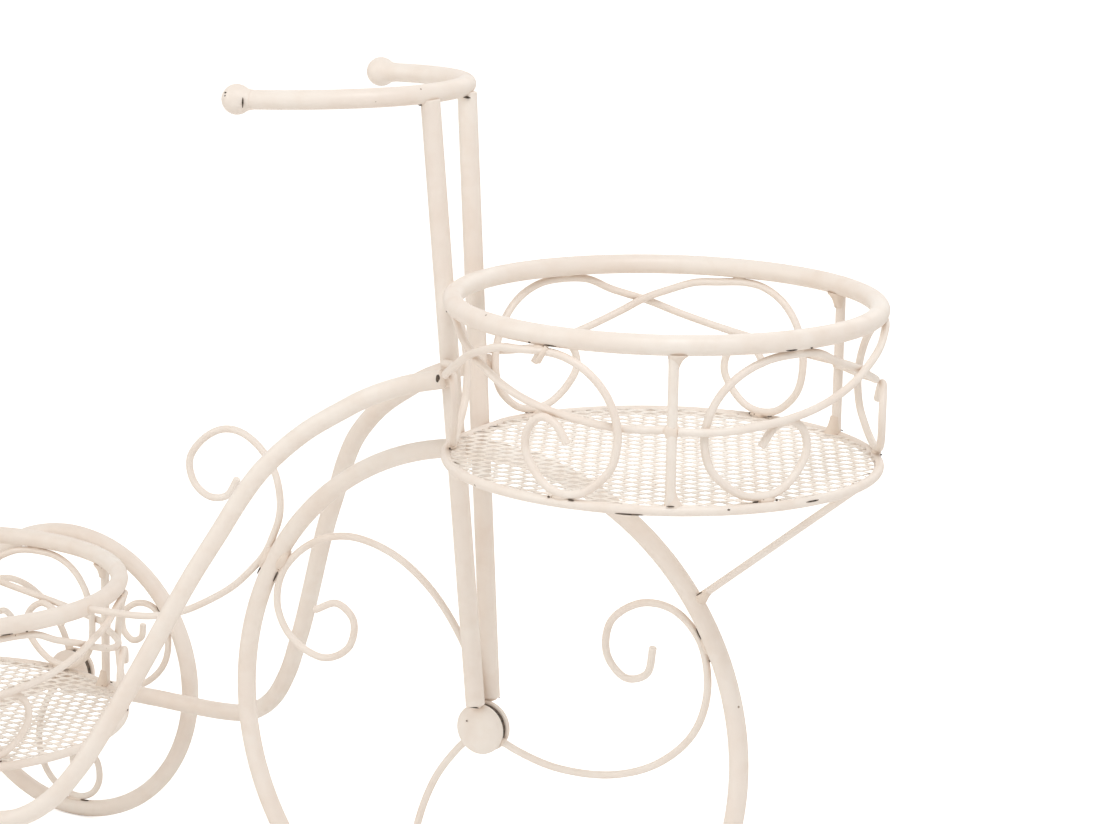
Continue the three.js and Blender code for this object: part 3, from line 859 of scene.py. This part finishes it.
# half length, out and up, in millimetres
weldSizes = {
    "postKnot": (4.2, 2.9, 3.9),
    "postSlit": (1.9, 0.45, 0.3),
    "slit": (3.2, 0.4, 0.4),
    "speck": (0.7, 0.45, 0.5),
    "wheelTack": (5.6, 2.2, 1.8),
    "hubTack": (2.4, 2.3, 2.3),
    "rimPatch": (7.2, 4.3, 3.1),
    "braceSlit": (2.3, 0.45, 0.4),
    "scrollEnd": (2.8, 1.6, 2.4),
}


# Weld metal drawn up a rod from a joint, more of it on the side that `lean` points to.
def addFlare(mesh, joint, along, lean, profile):
    side = firstSide(along)
    other = along.cross(side)
    rings = []
    for distance, radius in profile:
        aside = lean * (radius - profile[-1][1]) * flares["leanShare"]
        rings.append(addRing(mesh, joint + (along * distance + aside) * mm, side, other, radius * mm,
                             facets["flare"]))
    joinRings(mesh, rings, facets["flare"])
    mesh.faces.new(rings[0])
    mesh.faces.new(list(reversed(rings[-1])))


def around(angle):
    a = radians(angle)
    return Vector((-sin(a), cos(a), 0))


# A loop is welded under the ring and on the tray rod: degrees back from its furthest point, lift of the
# weld and of the marks beside it. The powder missed a slit on one side of the weld and a speck on the
# other.
loopWelds = {
    "top": {"back": 25, "lift": -0.6, "markLift": 1.2, "size": (3.6, 2.0, 1.4), "slit": (3.4, 0.45, 0.4)},
    "foot": {"back": 17, "lift": 0.3, "markLift": 0, "size": (4.4, 2.3, 1.7), "slit": (1.6, 0.4, 0.4)},
    "slitTurn": 3.4,
    "speckTurn": -2.8,
    "laneShare": 0.8,
    # how far out of the wall's middle the marks lie, and out of the lane
    "topOut": 2.2,
    "footOut": 1.3,
}
# how far out of the wall's middle a post's flares and the slit at its foot lie, and that slit's lift
postWelds = {"flareOut": -1, "slitOut": 3.3, "slitLift": 0.25}


def basketWelds(place, mesh, seams):
    low = place["tray"] + rodRadius
    high = place["tray"] + basket["height"] - tubeRadius
    up = Vector((0, 0, 1))
    flareOut = postWelds["flareOut"]
    seed = 1
    for angle in place["posts"]:
        run = around(angle)
        addFlare(mesh, wallPoint(place, angle, high, flareOut), -up, run, flares["postHead"])
        addFlare(mesh, wallPoint(place, angle, low, flareOut), up, run, flares["postFoot"])
        addLump(mesh, wallPoint(place, angle, (low + high) / 2), run, weldSizes["postKnot"], seed, 0.08)
        addLump(seams, wallPoint(place, angle, low + postWelds["slitLift"], postWelds["slitOut"]), run,
                weldSizes["postSlit"], seed + 1)
        seed += 3
    for scroll in place["scrolls"]:
        furthest, width = basket[scroll["loop"]]
        sign, lane = scroll["sign"], scroll["lane"]
        for weld, height, out in ((loopWelds["top"], high, loopWelds["topOut"]),
                                  (loopWelds["foot"], low, lane + loopWelds["footOut"])):
            angle = scroll["origin"] + sign * (furthest - weld["back"] * width)
            addLump(mesh, wallPoint(place, angle, height + weld["lift"], lane * loopWelds["laneShare"]),
                    around(angle), weld["size"], seed, 0.12)
            for turn, size in ((loopWelds["slitTurn"], weld["slit"]),
                               (loopWelds["speckTurn"], weldSizes["speck"])):
                beside = angle + sign * turn
                spot = wallPoint(place, beside, height + weld["markLift"], out)
                addLump(seams, spot, around(beside), size, seed + 1)
            seed += 2


for place in (frontBasket, rearBasket):
    mesh, seams = bmesh.new(), bmesh.new()
    basketWelds(place, mesh, seams)
    finishPiece(f"{place['name']}Welds", mesh, weldPaint, sharp=80)
    finishPiece(f"{place['name']}Seams", seams, steelGap, sharp=80)


def alongRim(angle):
    a = radians(angle)
    return Vector((-cos(a), 0, -sin(a)))


wheelMarks = {
    "touch": 61.2,
    # degrees from the touch on the front rim, mm in from the rim, mm to the near side
    "tack": (0, 0, 0),
    "speck": (-2.9, 0.1, -1.5),
    "slit": (3.0, 0.2, -1.5),
    # where the wires are tacked together inside the hub, and the way that the tack leans
    "hubTurn": 8,
    "hubReach": 13.6,
    "hubLean": 10,
    # painted shade: a dark bare-steel core between the two discs of a hub, which makes the gap between them
    # read dark; radius and distance from the hub's middle
    "gapShadeCore": [(0, -2.0), (12.0, -2.0), (12.4, -1.4), (12.4, 1.4), (12.0, 2.0), (0, 2.0)],
}


# Each wheel scroll is welded to the rim where it touches it, with a sliver left open on each side.
def wheelWelds(wheel, mesh, seams):
    spread = wheels["frontRadius"] / wheel["radius"]
    for i, turn in enumerate(wheel["turns"]):
        for marks, key, size in ((mesh, "tack", "wheelTack"), (seams, "speck", "speck"),
                                 (seams, "slit", "slit")):
            aside, sunk, out = wheelMarks[key]
            lead = wheelMarks["touch"] + aside * spread
            spot = wheelSpot(wheel, lead + turn, wheel["radius"] - tubeRadius - sunk, out)
            addLump(marks, spot, alongRim(lead + turn), weldSizes[size], i + lead, 0.12)
        lean = radians(wheelMarks["hubLean"] + turn)
        addLump(mesh, wheelSpot(wheel, wheelMarks["hubTurn"] + turn, wheelMarks["hubReach"]),
                Vector((-sin(lean), 0, cos(lean))), weldSizes["hubTack"], i + 40, 0.1)


# One mark or weld: its place from the joint in mm with y counted outwards, the way it runs, half sizes,
# seed and roughness.
frameMarks = {
    "forkHeadSlit": {"left": ((2.2, -4.7, 0.4), (1, 0, -0.1), (2.4, 0.7, 0.55), 7, 0.16),
                     "right": ((-4.4, 3.4, -0.1), (0.8, -0.6, 0), (2.4, 0.7, 0.55), 7, 0.16)},
    "forkFoot": ((-0.8, 0, -0.5), (1, 0, 0), (4.2, 4.2, 1.5), 11, 0.1),
    "forkFootSlit": {"left": ((1.2, 2.5, -0.1), (1, 0, 0), (3.2, 0.8, 0.35), 13, 0.16),
                     "right": ((1.2, 3.9, -0.1), (1, 0, 0), (3.2, 0.8, 0.35), 13, 0.16)},
    "railHead": ((-1, -4.2, -0.8), (1, 0, 0), (5.4, 2.6, 4.2), 15, 0.1),
    # the sawn end of the rail, bare inside
    "railBore": ((-0.4, 4.5, 1), (0, 0, 1), (2.1, 1.4, 0.9), 17, 0.1),
    "railFoot": ((0, 0, 0), (0, 1, 0), (6.2, 3, 4.6), 19, 0.08),
    # a chipped neck and two pits on the near ball, a pit on the near hub disc
    "ballChips": [((7.0, 5.2, -0.6), (0, 0, 1), (2.6, 0.42, 0.4), 32, 0.16),
                  ((-2.5, 6.3, 3.8), (1, 0, 0), (0.7, 0.4, 0.4), 32, 0.16),
                  ((-2.3, 6.9, 2.3), (1, 0, 0), (0.5, 0.4, 0.4), 32, 0.16)],
    "hubPit": ((-5.4, 8.05, 4.7), (1, 0, 0), (0.5, 0.3, 0.4), 34, 0.16),
}


def addMark(mesh, joint, mark, sign):
    (x, out, up), run, size, seed, rough = mark
    spot = joint + Vector((x, sign * out, up)) * mm
    addLump(mesh, spot, Vector(run).normalized(), size, seed + sign, rough)


def forkAndRailWelds(side, sign, mesh, seams):
    head, foot = at(*forkAt(forkHead, sign)), at(*forkAt(forkFoot, sign))
    railStart = railPoint(rails["profile"][0][0], railHead, sign)
    railEnd = railPoint(wheels["wheelbase"] - tubeRadius, axleHeight, sign)
    addMark(seams, head, frameMarks["forkHeadSlit"][side], sign)
    addMark(mesh, foot, frameMarks["forkFoot"], sign)
    addMark(seams, foot, frameMarks["forkFootSlit"][side], sign)
    addMark(mesh, railStart, frameMarks["railHead"], sign)
    addMark(seams, railStart, frameMarks["railBore"], sign)
    addMark(mesh, railEnd, frameMarks["railFoot"], sign)


rodMarks = {
    # a drip of weld under the near loop: degrees, height above the tray, out of the wall's middle
    "drip": [(-93.2, 74, 2.6), (-94.2, 70.8, 3.6), (-95.6, 66.4, 3.4)],
    "dripRadius": 1.45,
    "dripStep": 0.8,
    # slits along the rod that the powder missed: the same three, and half their length
    "slits": [(-70.5, -1.8, 3.25, 7.0), (-22, 0.7, 3.75, 4.2), (-46, 0.9, 3.75, 0.7)],
    "slitHalf": 0.42,
}


def nearMarks(mesh, seams):
    for chip in frameMarks["ballChips"]:
        addMark(seams, rightHalf[-1], chip, -1)
    addMark(seams, at(0, 0, hubHeight), frameMarks["hubPit"], -1)
    tray, half = frontBasket["tray"], rodMarks["slitHalf"]
    drip = [wallPoint(frontBasket, angle, tray + height, out) for angle, height, out in rodMarks["drip"]]
    addBar(mesh, bend(drip, rodMarks["dripStep"]), rodMarks["dripRadius"], facets["drip"])
    for angle, height, out, length in rodMarks["slits"]:
        spot = wallPoint(frontBasket, angle, tray + height, out)
        addLump(seams, spot, around(angle), (length, half, half), 35 - angle)


braceMarks = {
    # from the joint with the rim, in millimetres
    "slitFrom": (-0.4, -1.9, 1.4),
    # the weld between the rim and the centre scroll, a second bead of it inside the rim, and a slit below
    "beadAngle": 60,
    "beadIn": 4,
    "slitAlong": 8.2,
    "slitOut": -1.5,
    "scrollEndFrom": (-0.4, 0, 0),
}


def braceWelds(mesh, seams):
    start, end = braceEnds()
    run = (end - start).normalized()
    downRim = Vector((run.z, 0, -run.x))
    addFlare(mesh, start, run, downRim, flares["braceStart"])
    addFlare(mesh, end, -run, -downRim, flares["braceEnd"])
    addLump(seams, start + Vector(braceMarks["slitFrom"]) * mm, run, weldSizes["braceSlit"], 23)
    radius, touchRun = wheels["frontRadius"], alongRim(braces["touch"])
    touch = wheelSpot(frontWheel, braces["touch"], radius + tubeRadius)
    bead = wheelSpot(frontWheel, braceMarks["beadAngle"], radius - braceMarks["beadIn"])
    slit = touch + touchRun * braceMarks["slitAlong"] * mm + Vector((0, braceMarks["slitOut"] * mm, 0))
    addLump(mesh, touch, touchRun, weldSizes["rimPatch"], 25, 0.12)
    addLump(mesh, bead, touchRun, weldSizes["rimPatch"], 29, 0.12)
    addLump(seams, slit, touchRun, weldSizes["slit"], 26)
    addLump(mesh, centrePath()[0] + Vector(braceMarks["scrollEndFrom"]) * mm, Vector((0, 1, 0)),
            weldSizes["scrollEnd"], 27, 0.1)


mesh, seams = bmesh.new(), bmesh.new()
for wheel in (frontWheel, *rearWheels):
    wheelWelds(wheel, mesh, seams)
# painted shade: a dark core in each hub makes the gap between its two discs read dark
for wheel in (frontWheel, *rearWheels):
    addTurned(seams, wheelMarks["gapShadeCore"], wheelSpot(wheel, 0, 0), Vector((0, 1, 0)), facets["ball"])
for side, sign in bothSides:
    forkAndRailWelds(side, sign, mesh, seams)
nearMarks(mesh, seams)
braceWelds(mesh, seams)
finishPiece("frameWelds", mesh, weldPaint, sharp=80)
finishPiece("frameSeamsAndGapShade", seams, steelGap, sharp=80)
print("welds laid")


studio = {
    "floorColour": "#FFFFFF",
    "floorSize": 14,
    "fibre": 40,
    # added where the camera sees the paper, so that it burns out to white with the shadow still on it
    "floorGlow": 0.6,
    "roomStrength": 0.655,
    "roomColour": "#FFF8F0",
    # place, aim and width in metres, and the share of white that it adds on a surface that faces it there
    "lamps": {
        "keySoftbox": ((0.85, -0.7, 1.75), (0.15, 0, 0.42), 0.9, 0.37, "#FBFCFF"),
        "fillSoftbox": ((-2.0, -1.8, 1.5), (0, 0, 0.3), 1.8, 0.16, "#FFFAF4"),
        "backSoftbox": ((0.3, 2.4, 2.0), (0, 0, 0.3), 1.8, 0.1, "#FFFAF4"),
    },
}


def buildFloor():
    made, tree = newMaterial("studioPaperWhite")
    place = addNode(tree, "ShaderNodeTexCoord").outputs["Object"]
    paper = addBump(tree, addNoise(tree, place, studio["fibre"], 2.0), 0.02, 0.2)
    sheet = addNode(tree, "ShaderNodeBsdfDiffuse", Color=linearColour(studio["floorColour"]), Normal=paper)
    ray = addNode(tree, "ShaderNodeLightPath").outputs
    glow = addNode(tree, "ShaderNodeMath", {"operation": "MULTIPLY"}, i0=ray["Is Camera Ray"],
                   i1=studio["floorGlow"])
    shine = addNode(tree, "ShaderNodeEmission", Color=(1, 1, 1, 1), Strength=glow.outputs["Value"])
    both = addNode(tree, "ShaderNodeAddShader", i0=sheet.outputs["BSDF"], i1=shine.outputs["Emission"])
    addNode(tree, "ShaderNodeOutputMaterial", Surface=both.outputs["Shader"])
    mesh = bmesh.new()
    bmesh.ops.create_grid(mesh, x_segments=24, y_segments=24, size=studio["floorSize"])
    data = bpy.data.meshes.new("studioFloor")
    mesh.to_mesh(data)
    mesh.free()
    data.materials.append(made)
    floor = bpy.data.objects.new("studioFloor", data)
    scene.collection.objects.link(floor)


# A round softbox: `share` of white on a surface at `target` that faces it.
def addLamp(name, place, target, size, share, colour):
    away = Vector(place) - Vector(target)
    data = bpy.data.lights.new(name, "AREA")
    data.shape = "DISK"
    data.size = size
    data.energy = share * pi * pi * away.length ** 2
    data.color = linearColour(colour)[:3]
    lamp = bpy.data.objects.new(name, data)
    lamp.location = place
    lamp.rotation_euler = away.to_track_quat("Z", "Y").to_euler()
    scene.collection.objects.link(lamp)


# A warm room lights the stand; the camera, and what metal mirrors, see plain white.
def buildWorld():
    world = bpy.data.worlds.new("studioRoom")
    scene.world = world
    world.use_nodes = True
    tree = world.node_tree
    tree.nodes.clear()
    ray = addNode(tree, "ShaderNodeLightPath").outputs
    seen = ray["Is Camera Ray"]
    for kind in ("Is Glossy Ray", "Is Transmission Ray"):
        either = addNode(tree, "ShaderNodeMath", {"operation": "MAXIMUM"}, i0=seen, i1=ray[kind])
        seen = either.outputs["Value"]
    room = addNode(tree, "ShaderNodeBackground", Color=linearColour(studio["roomColour"]),
                   Strength=studio["roomStrength"])
    white = addNode(tree, "ShaderNodeBackground", Color=(1, 1, 1, 1), Strength=1.0)
    mixed = addNode(tree, "ShaderNodeMixShader", i0=seen, i1=room.outputs["Background"],
                    i2=white.outputs["Background"])
    addNode(tree, "ShaderNodeOutputWorld", Surface=mixed.outputs["Shader"])


buildFloor()
for name, lamp in studio["lamps"].items():
    addLamp(name, *lamp)
buildWorld()
scene.view_settings.view_transform = "Standard"
print("studio lit")
